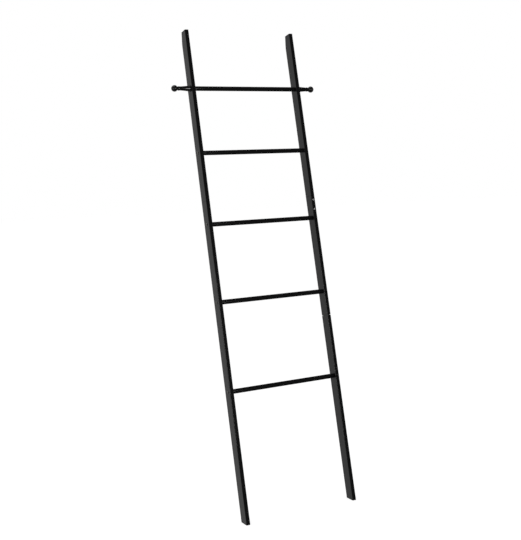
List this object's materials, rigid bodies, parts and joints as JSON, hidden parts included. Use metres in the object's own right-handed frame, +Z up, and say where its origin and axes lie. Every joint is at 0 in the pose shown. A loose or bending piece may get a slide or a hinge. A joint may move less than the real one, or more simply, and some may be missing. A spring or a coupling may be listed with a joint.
{
  "type": "blanket ladder",
  "caption": "Leaning blanket ladder of satin black metal tube: flat sectional rails, round rungs, and ball finials at both ends of the top rung.",
  "frame": {"origin": "on the floor, midway between the two rails and midway between the front of the feet and the wall", "axes": "+Z up from the floor; +Y horizontally from the user towards the wall that the ladder leans on; +X along the rungs, to the right of a person facing the wall"},
  "size_m": [0.6, 0.3448, 1.7712],
  "materials": {
    "powder_coat": "satin black powder coat",
    "joiner_coat": "thin black coat, rubbed where it slides",
    "finial_gloss": "gloss black coat",
    "cap_plastic": "fine grained black plastic",
    "foot_plastic": "black rubber",
    "black_screw": "black oxide",
    "plated_screw": "zinc plated",
    "plated_stud": "zinc plated",
    "plug_steel": "turned steel"
  },
  "bodies": {
    "root": {"left_lower_rail": "powder_coat", "left_middle_rail": "powder_coat", "left_upper_rail": "powder_coat", "left_lower_joiner": "joiner_coat", "left_upper_joiner": "joiner_coat", "left_foot": "foot_plastic", "left_top_cap": "cap_plastic", "left_rung_screws": "black_screw", "left_joiner_screws": "plated_screw", "left_finial": "finial_gloss", "right_lower_rail": "powder_coat", "right_middle_rail": "powder_coat", "right_upper_rail": "powder_coat", "right_lower_joiner": "joiner_coat", "right_upper_joiner": "joiner_coat", "right_foot": "foot_plastic", "right_top_cap": "cap_plastic", "right_rung_screws": "black_screw", "right_joiner_screws": "plated_screw", "right_finial": "finial_gloss", "rung_1": "powder_coat", "rung_2": "powder_coat", "rung_3": "powder_coat", "rung_4": "powder_coat", "rung_5": "powder_coat", "rung_plugs": "plug_steel", "finial_studs": "plated_stud"}
  },
  "joints": []
}
